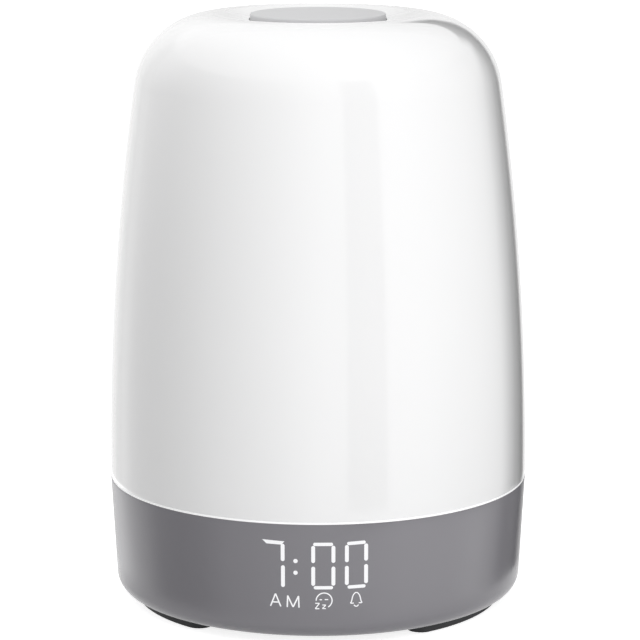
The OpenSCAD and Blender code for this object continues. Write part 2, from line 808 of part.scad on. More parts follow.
module key_switches() {
    color("#303032") for (i = [0:4]) difference() {
        translate([key_x(i) - switch_side / 2, key_board_y, key_z - switch_side / 2])
            cube([switch_side, switch_t, switch_side]);
        bar_y(key_x(i), plunger_y - plunger_l - key_travel - slip, key_z, plunger_r + slip, plunger_l + past);
    }
}

module plunger(i) {
    color("#b9b9b4") bar_y(key_x(i), plunger_y - plunger_l, key_z, plunger_r, plunger_l);
}

// A key: a round cap whose face follows the housing, a flange behind the wall and a stem
module key(i) {
    x = key_x(i);
    z0 = key_z - key_flange_r - past;
    z1 = key_z + key_flange_r + past;
    behind = base_wall + play;
    color("#6a6a6e") {
        difference() {
            union() {
                intersection() {
                    bar_y(x, plunger_y, key_z, key_r, body_r);
                    base_cone(-key_proud, z0, z1);
                }
                intersection() {
                    bar_y(x, plunger_y, key_z, key_flange_r, body_r);
                    base_cone(behind, z0, z1);
                }
            }
            translate([0, -key_flange_t, 0]) base_cone(behind, z0 - past, z1 + past);
        }
        bar_y(x, plunger_y, key_z, key_stem_r,
              wall_y(abs(x), key_z, behind) - key_flange_t / 2 - plunger_y);
    }
}

// ---- speaker --------------------------------------------------------------------------------

module speaker_gasket() {
    color("#1c1c1e") translate([0, 0, z_plate]) difference() {
        cylinder(h = gasket_t, r = speaker_r, $fn = 64);
        translate([0, 0, -past]) cylinder(h = gasket_t + 2 * past, r = speaker_r - gasket_w, $fn = 64);
    }
}

module speaker_frame() {
    z0 = z_speaker;
    z1 = z0 + speaker_rim_t;
    color("#4a4a4d") difference() {
        rotate_extrude($fn = 64) polygon([
            [speaker_r - 2.3, z0], [speaker_r, z0], [speaker_r, z1], [speaker_r - 1.2, z1],
            [basket_r, z_magnet - 1.2], [basket_r, z_magnet], [coil_r + 0.3, z_magnet],
            [coil_r + 0.3, z_magnet - 1.2], [basket_r - 1.2, z_magnet - 1.2],
            [speaker_r - 2.6, z1 + 0.4]]);
        for (a = [0, 90, 180, 270]) rotate([0, 0, a + 45])
            translate([basket_r - 0.5, -4, z1 + 1.6]) cube([8, 8, basket_h - 4.2]);
    }
}

module speaker_cone() {
    z0 = z_speaker + 0.1;
    r0 = speaker_r - 2.4;
    z_neck = z_magnet - 3;
    color("#26262a") rotate_extrude($fn = 64) polygon([
        [r0, z0], [r0, z0 + 0.5], [r0 - 1.2, z0 + 1.1], [r0 - 2.6, z0 + 0.7], [coil_r, z_neck],
        [coil_r, z_magnet + 0.6], [coil_r - 0.5, z_magnet + 0.6], [coil_r - 0.5, z_neck - 1.2],
        [3, z_neck - 2.4], [0, z_neck - 2.8], [0, z_neck - 3.3], [3, z_neck - 2.9],
        [coil_r - 0.2, z_neck - 1.6], [r0 - 3, z0 + 0.1], [r0 - 1.2, z0 + 0.5]]);
}

module speaker_magnet() {
    color("#5b5b5f") translate([0, 0, z_magnet]) difference() {
        union() {
            cylinder(h = magnet_h, r = basket_r - 1, $fn = 64);
            cylinder(h = magnet_h + yoke_h, r = basket_r - 2, $fn = 64);
        }
        translate([0, 0, -1]) difference() {
            cylinder(h = magnet_h, r = coil_r + 0.3, $fn = 64);
            cylinder(h = magnet_h, r = coil_r - 0.8, $fn = 64);
        }
    }
}

// Each screw clamps the speaker's rim to the plate through its washer
module speaker_screws() {
    color("#8e8e8e") around(speaker_screw_ring, speaker_screw_angles)
        translate([0, 0, z_speaker + speaker_rim_t]) {
            cylinder(h = washer_t, r = screw_head_r + 0.6, $fn = 32);
            translate([0, 0, washer_t - eps]) rotate([180, 0, 0]) screw(speaker_screw_l + washer_t);
        }
}

module speaker_lead() {
    z0 = z_speaker + speaker_rim_t;
    color("#7a1f1f") for (side = [-1, 1])
        translate([speaker_r - speaker_lead_r - slip, side * 1.4, z0])
            cylinder(h = z_board - board_t - z0, r = speaker_lead_r, $fn = 20);
}

// ---- power inlet ----------------------------------------------------------------------------

module at_power_screws() {
    for (side = [-1, 1]) translate([side * power_screw_x, power_screw_y, 0]) children();
}

module power_board() {
    color("#2f6b3c") difference() {
        translate([-power_board_w / 2, power_board_y, z_power])
            cube([power_board_w, power_board_end - power_board_y, board_t]);
        at_power_screws() pilot(z_power - past, z_power + board_t + past);
    }
}

module power_parts() {
    color("#e9e6da") translate([-power_plug[0] / 2, power_plug_y, z_power + board_t])
        cube(power_plug);
}

module power_screws() {
    color("#8e8e8e") at_power_screws()
        translate([0, 0, z_power + board_t]) rotate([180, 0, 0]) screw(short_screw_l);
}

module usb_shell() {
    color("#c4c4c6") difference() {
        usb_form(usb_w, usb_h, usb_back - usb_l, usb_l);
        usb_form(usb_w - 2 * usb_wall, usb_h - 2 * usb_wall, usb_floor, usb_l);
    }
}

module usb_tongue() {
    color("#1f1f22") translate([-tongue[0] / 2, usb_floor, z_usb - tongue[1] / 2])
        cube([tongue[0], usb_l - 2, tongue[1]]);
}

module power_lead() {
    z0 = z_power + board_t + power_plug[2];
    color("#333333") for (side = [-1, 1])
        translate([side * 1.3, power_plug_y + power_plug[1] / 2, z0])
            cylinder(h = z_board - board_t - z0, r = power_lead_r, $fn = 20);
}

// ---- nodes ----------------------------------------------------------------------------------

base_housing();
bottom_plate();
foot(-foot_azimuth);  // foot_front_left
foot(foot_azimuth);  // foot_front_right
foot(180 + foot_azimuth);  // foot_rear_left
foot(180 - foot_azimuth);  // foot_rear_right
bottom_screws();
diffuser_dome();
light_seal();
deck_plate();
deck_screws();
lamp_column();
column_screws();
lamp_strips();
lamps();
switch_carrier();
switch_board();
snooze_switch();
snooze_plunger();
snooze_spring();
snooze_button();
switch_lead();
display_reflector();
display_film();
display_board();
display_lamps();
display_header();
main_board();
board_parts();
board_screws();
cell_holder();
coin_cell();
key_header();
key_board();
key_switches();
for (i = [0:4]) {
    key(i);
    plunger(i);
}
speaker_gasket();
speaker_frame();
speaker_cone();
speaker_magnet();
speaker_screws();
speaker_lead();
power_board();
power_parts();
power_screws();
usb_shell();
usb_tongue();
power_lead();
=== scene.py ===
"""Sunrise alarm clock: the looks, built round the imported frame. Sizes are in millimetres until they
go into a mesh. +Z is up and the clock's front faces -Y."""

import json
import math

import bmesh
import bpy
import numpy as np
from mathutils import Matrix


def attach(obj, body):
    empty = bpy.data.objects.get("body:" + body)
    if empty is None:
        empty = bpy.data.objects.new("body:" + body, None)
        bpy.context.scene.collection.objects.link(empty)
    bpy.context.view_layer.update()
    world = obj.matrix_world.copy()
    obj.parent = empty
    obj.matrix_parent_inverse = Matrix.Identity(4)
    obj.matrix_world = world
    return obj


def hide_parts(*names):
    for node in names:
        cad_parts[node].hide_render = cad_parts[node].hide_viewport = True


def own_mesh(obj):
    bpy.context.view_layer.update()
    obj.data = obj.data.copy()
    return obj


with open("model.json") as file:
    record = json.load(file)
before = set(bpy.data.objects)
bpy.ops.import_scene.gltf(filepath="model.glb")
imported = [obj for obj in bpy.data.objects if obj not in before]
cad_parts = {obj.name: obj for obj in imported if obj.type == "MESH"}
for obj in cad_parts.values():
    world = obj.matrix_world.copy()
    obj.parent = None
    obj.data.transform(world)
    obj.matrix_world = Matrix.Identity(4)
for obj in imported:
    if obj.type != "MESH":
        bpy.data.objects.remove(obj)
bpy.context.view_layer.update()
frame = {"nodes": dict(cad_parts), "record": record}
scene = bpy.context.scene
MM = 0.001

# ---- camera -------------------------------------------------------------------------------------

CAMERA_AT = (0.00059, -0.875, 0.2589)
CAMERA_DOWN = 11.338   # degrees
LENS, SENSOR = 167.54, 36.0

view_data = bpy.data.cameras.new("camera")
view_data.lens = LENS
view_data.sensor_width = SENSOR
camera = bpy.data.objects.new("camera", view_data)
camera.location = CAMERA_AT
camera.rotation_euler = (math.radians(90 - CAMERA_DOWN), 0, 0)
scene.collection.objects.link(camera)
scene.camera = camera

# ---- the clock's main sizes ---------------------------------------------------------------------

BODY_R = 62.5          # radius at the seam
Z_UNDER = 2.5          # underside of the housing
Z_RIM = 37.0           # top of the housing
Z_DOME = 37.6          # lower edge of the dome
Z_CROWN = 175.4        # top of the dome
TAPER_ANGLE = 3.1      # how far the housing's wall leans in towards the foot, in degrees
TAPER = math.tan(math.radians(TAPER_ANGLE))
WALL = 2.5             # thickness of the housing's wall
KEYS = ["volume", "sound", "clock", "alarm", "dimmer"]
KEY_X = [22.0, 11.0, 0.0, -11.0, -22.0]   # from left to right as seen from behind
KEY_Z, KEY_R = 20.0, 3.6

CREASE = math.radians(34)   # edges sharper than this stay sharp
MERGE = 1e-7                # points closer than this are one, in metres
CORNER_STEPS = 6            # steps in the arc of a rounded corner


def housing_r(z, inset=0.0):
    """Radius of the housing's outer cone at height z, moved inwards by inset square to the wall."""
    return BODY_R - (Z_RIM - z) * TAPER - inset * math.hypot(1, TAPER)


# ---- outlines and grids -------------------------------------------------------------------------

def arc(centre, radius, start, end, steps):
    """Points of a circle about a centre, from one angle to another in degrees."""
    t = np.radians(np.linspace(start, end, steps + 1))
    return np.stack([centre[0] + radius * np.cos(t), centre[1] + radius * np.sin(t)], 1)


def outline(*parts):
    """One closed outline from arrays of points and from corners (across, up, radius). A corner with
    a radius becomes an arc that touches both of its neighbouring edges."""
    points, radii = [], []
    for part in parts:
        if isinstance(part, tuple):
            points.append(part[:2])
            radii.append(part[2] if len(part) > 2 else 0.0)
        else:
            points.extend(map(tuple, part))
            radii.extend([0.0] * len(part))
    points = np.array(points, float)
    out = []
    for i, radius in enumerate(radii):
        p, before, after = points[i], points[i - 1], points[(i + 1) % len(points)]
        if radius == 0:
            out.append(p[None])
            continue
        u, v = (before - p) / np.linalg.norm(before - p), (after - p) / np.linalg.norm(after - p)
        half = math.acos(max(-1.0, min(1.0, float(u @ v)))) / 2
        a, b = p + u * radius / math.tan(half), p + v * radius / math.tan(half)
        middle = p + (u + v) / np.linalg.norm(u + v) * radius / math.sin(half)
        t = np.linspace(0, 1, CORNER_STEPS + 1)[:, None]
        swing = math.pi - 2 * half
        da, db = (a - middle) / radius, (b - middle) / radius
        out.append(middle + radius * (np.sin((1 - t) * swing) * da + np.sin(t * swing) * db)
                   / math.sin(swing))
    return np.concatenate(out)


def quads(rows, cols, close_rows=False, close_cols=False):
    """Corner numbers of the quads of a grid of rows x cols points. A closed direction joins its
    last line of points to its first."""
    a, b = np.meshgrid(np.arange(rows if close_rows else rows - 1),
                       np.arange(cols if close_cols else cols - 1), indexing="ij")
    a, b = a.ravel(), b.ravel()
    c, d = (a + 1) % rows, (b + 1) % cols
    return np.stack([a * cols + b, c * cols + b, c * cols + d, a * cols + d], 1)


def revolve(profile, steps=256, closed=True, at=(0.0, 0.0)):
    """A profile of (radius, height) points turned about a vertical line at a place: a point's place
    is (radius cos t, radius sin t, height). An open profile starts and ends on the line."""
    t = np.linspace(0, 2 * np.pi, steps, endpoint=False)[:, None]
    r, z = profile[:, 0], profile[:, 1]
    points = np.stack([at[0] + np.cos(t) * r, at[1] + np.sin(t) * r, z + 0 * t], 2)
    return points.reshape(-1, 3), quads(steps, len(profile), True, closed)


def rod_y(radius, x, z, y0, y1, steps=64):
    """A round bar along Y with closed ends: a rectangle (radius, distance along Y) turned about the
    line along Y through x and z."""
    profile = np.array([(0, y0), (radius, y0), (radius, y1), (0, y1)], float)
    points, faces = revolve(profile, steps, closed=False)
    return np.stack([x + points[:, 0], points[:, 2], z + points[:, 1]], 1), faces


def stadium_y(width, height, z, y0, y1, steps=16):
    """A bar along Y with a stadium-shaped section, closed at both ends by a fan from its middle."""
    half, r = (width - height) / 2, height / 2
    ring = np.concatenate([arc((half, z), r, -90, 90, steps), arc((-half, z), r, 90, 270, steps)])
    middle = np.tile((0.0, z), (len(ring), 1))
    rows = [(middle, y0), (ring, y0), (ring, y1), (middle, y1)]
    points = [np.stack([p[:, 0], np.full(len(p), y), p[:, 1]], 1) for p, y in rows]
    return np.concatenate(points), quads(4, len(ring), False, True)


# ---- pieces -------------------------------------------------------------------------------------

def mesh_of(name, solids):
    """One mesh from solids of (points, faces): doubles are merged, which closes seams and poles,
    faces turn outwards, and edges sharper than the crease angle stay sharp."""
    points, faces, first = [], [], 0
    for p, f in solids:
        points.append(p * MM)
        faces.append(f + first)
        first += len(p)
    mesh = bpy.data.meshes.new(name)
    mesh.from_pydata(np.concatenate(points).tolist(), [], np.concatenate(faces).tolist())
    work = bmesh.new()
    work.from_mesh(mesh)
    bmesh.ops.remove_doubles(work, verts=work.verts, dist=MERGE)
    bmesh.ops.recalc_face_normals(work, faces=work.faces)
    work.to_mesh(mesh)
    work.free()
    mesh.shade_smooth()
    mesh.set_sharp_from_angle(angle=CREASE)
    return mesh


def piece(name, solids, body, slot, stands_for=(), material=None):
    """A finished piece at the origin that rides on a body and may stand for CAD nodes. It has the
    slot's own material unless another is given."""
    made = bpy.data.objects.new(name, mesh_of(name, solids))
    scene.collection.objects.link(made)
    made.data.materials.append(material or MATERIALS[slot])
    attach(made, body)
    if stands_for:
        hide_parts(*stands_for)
    return made


def cut(target, cutters):
    """Takes closed solids away from a piece, one after another, and keeps its smooth shading."""
    for number, solid in enumerate(cutters):
        tool = bpy.data.objects.new("cutter", mesh_of("cutter", [solid]))
        scene.collection.objects.link(tool)
        step = target.modifiers.new(f"cut{number}", "BOOLEAN")
        step.operation, step.solver, step.object = "DIFFERENCE", "EXACT", tool
        bpy.context.view_layer.update()
        cut_mesh = bpy.data.meshes.new_from_object(
            target.evaluated_get(bpy.context.evaluated_depsgraph_get()))
        target.modifiers.clear()
        target.data = cut_mesh
        bpy.data.objects.remove(tool)
    target.data.shade_smooth()
    target.data.set_sharp_from_angle(angle=CREASE)


# ---- node helpers -------------------------------------------------------------------------------

def feed(tree, node, inputs):
    """Fills a node's inputs: each gets a value or another node's output."""
    for key, value in inputs.items():
        if isinstance(value, bpy.types.NodeSocket):
            tree.links.new(value, node.inputs[key])
        else:
            node.inputs[key].default_value = value


def add(tree, kind, inputs=None, **settings):
    """A node with its settings and inputs."""
    node = tree.nodes.new(kind)
    for key, value in settings.items():
        setattr(node, key, value)
    feed(tree, node, inputs or {})
    return node


def sums(tree, operation, a, b, c=None, clamp=False):
    """The output of one Math node."""
    values = {0: a, 1: b} if c is None else {0: a, 1: b, 2: c}
    return add(tree, "ShaderNodeMath", values, operation=operation, use_clamp=clamp).outputs[0]


def noise(tree, place, scale, **more):
    """The value of a noise at a place."""
    return add(tree, "ShaderNodeTexNoise", {"Vector": place, "Scale": scale, **more}).outputs["Fac"]


def ramp(tree, value, low, high):
    """0 up to a low value, 1 from a high one, and even in between."""
    return add(tree, "ShaderNodeMapRange", {"Value": value, "From Min": low,
                                            "From Max": high}).outputs[0]


def relief(tree, height, depth):
    """The normal of a surface that stands out by height times depth in millimetres."""
    return add(tree, "ShaderNodeBump", {"Height": height, "Distance": depth * MM,
                                        "Strength": 1.0}).outputs[0]


def new_group(name, inputs, outputs):
    """An empty node group with named sockets, the values that come in, and the node that takes
    what goes out."""
    group = bpy.data.node_groups.new(name, "ShaderNodeTree")
    for label, kind, value in inputs:
        socket = group.interface.new_socket(label, in_out="INPUT", socket_type="NodeSocket" + kind)
        if value is not None:
            socket.default_value = value
    for label, kind in outputs:
        group.interface.new_socket(label, in_out="OUTPUT", socket_type="NodeSocket" + kind)
    entry, result = group.nodes.new("NodeGroupInput"), group.nodes.new("NodeGroupOutput")
    return group, entry.outputs, result


def build_skin():
    """Moulded surface: the colour drifts slowly from place to place, the roughness with it, and a
    fine grain gives the height for a bump."""
    group, i, result = new_group("moulded skin", [
        ("Vector", "Vector", None), ("Colour", "Color", (0.5, 0.5, 0.5, 1)),
        ("Drift", "Float", 0.03), ("Drift scale", "Float", 45.0), ("Roughness", "Float", 0.4),
        ("Spread", "Float", 0.06), ("Grain scale", "Float", 4500.0)],
        [("Colour", "Color"), ("Roughness", "Float"), ("Height", "Float")])
    slow = noise(group, i["Vector"], i["Drift scale"], Detail=3.0, Roughness=0.55)
    fine = noise(group, i["Vector"], i["Grain scale"], Detail=2.0, Roughness=0.6)
    offset = sums(group, "SUBTRACT", slow, 0.5)
    shade = sums(group, "MULTIPLY_ADD", offset, i["Drift"], 1.0)
    tinted = add(group, "ShaderNodeVectorMath", {0: i["Colour"], "Scale": shade},
                 operation="SCALE")
    rough = sums(group, "MULTIPLY_ADD", offset, i["Spread"], i["Roughness"], clamp=True)
    feed(group, result, {"Colour": tinted.outputs[0], "Roughness": rough, "Height": fine})
    return group


def build_marks():
    """Handling marks: long faint rubs at two crossing angles where a slow noise lets them
    through."""
    group, i, result = new_group("handling marks", [
        ("Vector", "Vector", None), ("Scale", "Float", 60.0), ("Amount", "Float", 0.05)],
        [("Mask", "Float")])
    lines = []
    for turn in (0.5, -0.9):
        turned = add(group, "ShaderNodeMapping", {
            "Vector": i["Vector"], "Rotation": (0.3, turn, 0.2), "Scale": (1.0, 1.0, 9.0)})
        streaks = noise(group, turned.outputs[0], i["Scale"], Detail=4.0, Roughness=0.65)
        lines.append(ramp(group, streaks, 0.58, 0.72))
    both = sums(group, "MAXIMUM", *lines)
    patches = ramp(group, noise(group, i["Vector"], 28.0), 0.45, 0.65)
    mask = sums(group, "MULTIPLY", sums(group, "MULTIPLY", both, patches), i["Amount"])
    feed(group, result, {"Mask": mask})
    return group


def build_fibres():
    """Felted or foamed stuff: a cellular pattern under a fine noise, as a height and a shade."""
    group, i, result = new_group("fibres", [
        ("Vector", "Vector", None), ("Scale", "Float", 1500.0)],
        [("Height", "Float"), ("Shade", "Float")])
    cells = add(group, "ShaderNodeTexVoronoi", {"Vector": i["Vector"], "Scale": i["Scale"]})
    fine = noise(group, i["Vector"], i["Scale"], Detail=5.0)
    height = sums(group, "MULTIPLY", cells.outputs["Distance"], fine)
    shade = sums(group, "MULTIPLY_ADD", height, 0.5, 0.75, clamp=True)
    feed(group, result, {"Height": height, "Shade": shade})
    return group


SKIN, MARKS, FIBRES = build_skin(), build_marks(), build_fibres()


def new_material(name):
    """A material with its tree, its Principled shader and Object coordinates."""
    made = bpy.data.materials.new(name)
    made.use_nodes = True
    tree = made.node_tree
    shader = tree.nodes["Principled BSDF"]
    return made, tree, shader, add(tree, "ShaderNodeTexCoord").outputs["Object"]


def moulded(name, colour, rough, grain=4500.0, depth=0.004, drift=0.03, spread=0.06, marks=0.0,
            stretch=None, polish=None, **sockets):
    """A moulded, cast or drawn finish. depth is the grain's height in millimetres, marks how much
    the rubs raise the roughness, stretch draws the grain out along one axis, and polish gives the
    two slants, from 0 face on to 1 edge on, between which a clear coat's gloss sets in."""
    made, tree, shader, place = new_material(name)
    if stretch:
        place = add(tree, "ShaderNodeVectorMath", {0: place, 1: stretch},
                    operation="MULTIPLY").outputs[0]
    skin = add(tree, "ShaderNodeGroup", {
        "Vector": place, "Colour": (*colour, 1), "Drift": drift, "Roughness": rough,
        "Spread": spread, "Grain scale": grain}, node_tree=SKIN).outputs
    roughness = skin["Roughness"]
    if marks:
        rubs = add(tree, "ShaderNodeGroup", {"Vector": place, "Amount": marks}, node_tree=MARKS)
        roughness = sums(tree, "ADD", roughness, rubs.outputs["Mask"], clamp=True)
    feed(tree, shader, {"Base Color": skin["Colour"], "Roughness": roughness,
                        "Normal": relief(tree, skin["Height"], depth)})
    if polish:
        slant = add(tree, "ShaderNodeLayerWeight", {"Blend": 0.5}).outputs["Facing"]
        feed(tree, shader, {"Coat Weight": ramp(tree, slant, *polish)})
    feed(tree, shader, {key.replace("_", " "): value for key, value in sockets.items()})
    return made


def fibrous(name, colour, rough, scale, depth):
    """Paper, foam or phosphor: the fibre pattern shades the colour and gives the bump."""
    made, tree, shader, place = new_material(name)
    felt = add(tree, "ShaderNodeGroup", {"Vector": place, "Scale": scale}, node_tree=FIBRES).outputs
    tinted = add(tree, "ShaderNodeVectorMath", {0: colour, "Scale": felt["Shade"]},
                 operation="SCALE")
    feed(tree, shader, {"Base Color": tinted.outputs[0], "Roughness": rough,
                        "Normal": relief(tree, felt["Height"], depth)})
    return made


def laminate(name):
    """Green solder mask over copper: bands of straight tracks show as a lighter green, the mask
    stands up over them, and a fine weave of the glass cloth lies under all of it."""
    made, tree, shader, place = new_material(name)
    tracks = add(tree, "ShaderNodeTexBrick", {
        "Vector": place, "Color1": (0.012, 0.085, 0.03, 1), "Color2": (0.016, 0.11, 0.04, 1),
        "Mortar": (0.035, 0.2, 0.075, 1), "Scale": 160.0, "Mortar Size": 0.035,
        "Brick Width": 0.9, "Row Height": 0.3}).outputs
    weave = add(tree, "ShaderNodeTexChecker", {"Vector": place, "Scale": 2200.0}).outputs["Fac"]
    height = sums(tree, "MULTIPLY_ADD", weave, 0.1, tracks["Fac"])
    feed(tree, shader, {"Base Color": tracks["Color"], "Roughness": 0.32,
                        "Normal": relief(tree, height, 0.03)})
    return made


def glowing(name, colour, strength, base):
    """Light through the housing's thin wall: it is a little uneven, as light from a cell is."""
    made, tree, shader, place = new_material(name)
    skin = add(tree, "ShaderNodeGroup", {"Vector": place, "Colour": (*colour, 1), "Drift": 0.12,
                                         "Drift scale": 900.0}, node_tree=SKIN).outputs
    feed(tree, shader, {"Emission Color": skin["Colour"], "Emission Strength": strength,
                        "Base Color": (*base, 1), "Roughness": 0.5})
    return made


MATERIALS = {
    "base_plastic": moulded("base plastic", (0.191, 0.186, 0.203), 0.24, grain=3600, depth=0.003,
                            marks=0.015),
    "plate_plastic": moulded("plate plastic", (0.12, 0.118, 0.13), 0.55, grain=2600, depth=0.012,
                             marks=0.08),
    "dome_plastic": moulded("dome plastic", (0.85, 0.85, 0.853), 0.12, grain=1800, depth=0.0008,
                            drift=0.012, spread=0.03, marks=0.03, polish=(0.55, 0.7), Coat_IOR=2.0,
                            Coat_Roughness=0.06),
    # The seal's emission strength gives it a faint white glow. That glow is a painted highlight along
    # the seam between dome and housing, since the seal is no lamp.
    "seal_silicone": moulded("seal silicone with painted glow", (0.88, 0.88, 0.88), 0.45, drift=0.01,
                             Emission_Strength=0.2),
    "white_plastic": moulded("white plastic", (0.8, 0.8, 0.79), 0.42, marks=0.05),
    "button_plastic": moulded("button plastic", (0.565, 0.565, 0.573), 0.5, grain=3800,
                              depth=0.005, drift=0.02, marks=0.04),
    "key_rubber": moulded("key rubber", (0.15, 0.148, 0.165), 0.6, grain=5200, depth=0.008,
                          marks=0.05),
    "foot_rubber": moulded("foot rubber", (0.022, 0.022, 0.024), 0.72, grain=2400, depth=0.02,
                           drift=0.12),
    "screw_steel": moulded("screw steel", (0.56, 0.56, 0.57), 0.32, grain=5200, drift=0.08,
                           Metallic=1.0),
    "spring_steel": moulded("spring steel", (0.6, 0.6, 0.62), 0.22, grain=2600, drift=0.06,
                            stretch=(1, 1, 0.1), Metallic=1.0),
    "board_laminate": laminate("board laminate"),
    "black_plastic": moulded("black plastic", (0.02, 0.02, 0.022), 0.45, depth=0.008, drift=0.1),
    "plunger_plastic": moulded("plunger plastic", (0.5, 0.5, 0.47), 0.4),
    "lamp_phosphor": fibrous("lamp phosphor", (0.92, 0.76, 0.3), 0.5, 9000.0, 0.01),
    "display_film": moulded("display film", (0.34, 0.34, 0.36), 0.3, drift=0.02),
    "cell_steel": moulded("cell steel", (0.66, 0.66, 0.66), 0.25, grain=3000, depth=0.003,
                          drift=0.05, stretch=(1, 0.06, 1), Metallic=1.0),
    "speaker_metal": moulded("speaker metal", (0.08, 0.08, 0.085), 0.42, drift=0.08,
                             Metallic=0.6),
    "cone_paper": fibrous("cone paper", (0.03, 0.03, 0.032), 0.85, 1600.0, 0.05),
    "magnet_ferrite": moulded("magnet ferrite", (0.1, 0.1, 0.105), 0.5, grain=2200, depth=0.015,
                              drift=0.15),
    "gasket_foam": fibrous("gasket foam", (0.03, 0.03, 0.03), 0.95, 2400.0, 0.12),
    "lead_vinyl": moulded("lead vinyl", (0.03, 0.03, 0.032), 0.4),
    "plug_nylon": moulded("plug nylon", (0.72, 0.69, 0.6), 0.42, drift=0.05),
    "shell_nickel": moulded("shell nickel", (0.62, 0.61, 0.59), 0.2, grain=4200, depth=0.002,
                            drift=0.04, stretch=(1, 0.08, 1), Metallic=1.0),
}
GLOW = glowing("display light", (1.0, 1.0, 1.0), 0.62, (0.3, 0.3, 0.32))
KEY_PRINT = moulded("key print", (0.62, 0.62, 0.64), 0.55, drift=0.06)

slot_of = {entry["node"]: entry["material_slot"] for entry in frame["record"]["subparts"]}
for node, shown in frame["nodes"].items():
    for place in shown.material_slots:
        place.material = MATERIALS[slot_of[node]]

# ---- dome ---------------------------------------------------------------------------------------

SIDE_R, SHOULDER_R, CREST_R, DISH_SLOPE = 834.0, 23.4, 14.0, 10.0
DOME_WALL, Z_LEDGE = 2.4, Z_DOME + 2
LIP_R, LIP_WALL, Z_LIP = 59.6014, 1.6, 33.4
OPENING_R, COLLAR_WALL, Z_COLLAR = 20.3, 1.8, 167.4
BOSS_ANGLES, BOSS_AT = (-15, 15, 165, 195), 55.3514
BOSS_R, BOSS_BORE_R, Z_BOSS = 3.05, 1.48, Z_LIP + 8
side_centre = np.array([BODY_R - SIDE_R, Z_DOME])
shoulder_up = Z_CROWN - SHOULDER_R - Z_DOME
shoulder_across = math.sqrt((SIDE_R - SHOULDER_R) ** 2 - shoulder_up ** 2)
shoulder_centre = side_centre + (shoulder_across, shoulder_up)
crest_centre = np.array([shoulder_centre[0], Z_CROWN - CREST_R])
side_end = math.degrees(math.atan2(*(shoulder_centre - side_centre)[::-1]))


def dish_z(r, inset=0.0):
    """Height of the sloping dish round the button at radius r, moved inwards by inset square to
    it."""
    slope = math.radians(DISH_SLOPE)
    return (crest_centre[1] + (CREST_R - inset) / math.cos(slope)
            - (crest_centre[0] - r) * math.tan(slope))


def dome_curve(inset, start_z, end_r, fine=1.0):
    """The dome's half outline a distance inside its surface: the long side arc from start_z, the
    shoulder arc that touches it, the crest arc, and the dish's slope as far in as end_r."""
    start = math.degrees(math.asin((start_z - Z_DOME) / (SIDE_R - inset)))
    return np.concatenate([
        arc(side_centre, SIDE_R - inset, start, side_end, int(40 * fine)),
        arc(shoulder_centre, SHOULDER_R - inset, side_end, 90, int(48 * fine))[1:],
        arc(crest_centre, CREST_R - inset, 90, 90 + DISH_SLOPE, 8)[1:],
        [(end_r, dish_z(end_r, inset))]])


# The curves stop a little way before the corners that follow, to leave room for their rounding.
dome_solids = [revolve(outline(
    (BODY_R - 0.02, Z_DOME, 0.16),
    dome_curve(0, Z_DOME + 0.3, OPENING_R + 0.6),
    (OPENING_R, dish_z(OPENING_R), 0.3),
    (OPENING_R, Z_COLLAR, 0.2), (OPENING_R + COLLAR_WALL, Z_COLLAR, 0.3),
    dome_curve(DOME_WALL, Z_LEDGE + 1, OPENING_R + COLLAR_WALL, 0.5)[::-1],
    (BODY_R - DOME_WALL, Z_LEDGE), (LIP_R - LIP_WALL, Z_LEDGE, 0.2),
    (LIP_R - LIP_WALL, Z_LIP, 0.2), (LIP_R, Z_LIP, 0.3), (LIP_R, Z_DOME)))]
boss = outline((BOSS_BORE_R, Z_LIP), (BOSS_R, Z_LIP, 0.2), (BOSS_R, Z_BOSS, 0.2),
               (BOSS_BORE_R, Z_BOSS))
for angle in map(math.radians, BOSS_ANGLES):
    spot = BOSS_AT * np.array([math.cos(angle), math.sin(angle)])
    dome_solids.append(revolve(boss, 32, at=spot))
piece("dome_shell", dome_solids, "clock_body", "dome_plastic", ["diffuser_dome"])

# ---- housing ------------------------------------------------------------------------------------

CORNER_R = 5.0
CORNER = (housing_r(Z_UNDER + CORNER_R, CORNER_R), Z_UNDER + CORNER_R)
PLATE_HOLE_R, Z_PLATE, FLANGE_R, Z_FLANGE = 55.695, 4.7, 48.895, 6.9
KEY_HOLE_R, KEY_FLOOR = KEY_R + 0.3, 50.0
USB_Z, USB_W, USB_H, USB_FLOOR = 11.93, 9.54, 3.86, 54.2766
BEYOND = 66.0          # where the cutters for the rear holes end, outside the housing
WINDOW_T = 0.9         # what is left of the wall in front of the display
DISPLAY_X, DISPLAY_Y, DISPLAY_Z = (-27.45, 16.15), -46.6707, (11.3, 33.3)


def slab_between(x0, x1, z0, z1, inner_y, inset, steps=48):
    """The space between an upright plane at inner_y and the housing's cone moved inwards by inset,
    from x0 to x1 and z0 to z1: each section across X is a four-sided outline, and the two ends are
    closed."""
    x = np.linspace(x0, x1, steps + 1)[:, None]
    z = np.array([z0, z1, z1, z0])
    front = -np.sqrt(np.array([housing_r(z0, inset), housing_r(z1, inset)]) ** 2 - x ** 2)
    y = np.concatenate([front, np.full((len(x), 2), inner_y)], 1)
    points = np.stack([x + 0 * y, y, z + 0 * y], 2).reshape(-1, 3)
    last = 4 * (len(x) - 1)
    ends = np.array([[0, 1, 2, 3], [last + 3, last + 2, last + 1, last]])
    return points, np.concatenate([quads(len(x), 4, False, True), ends])


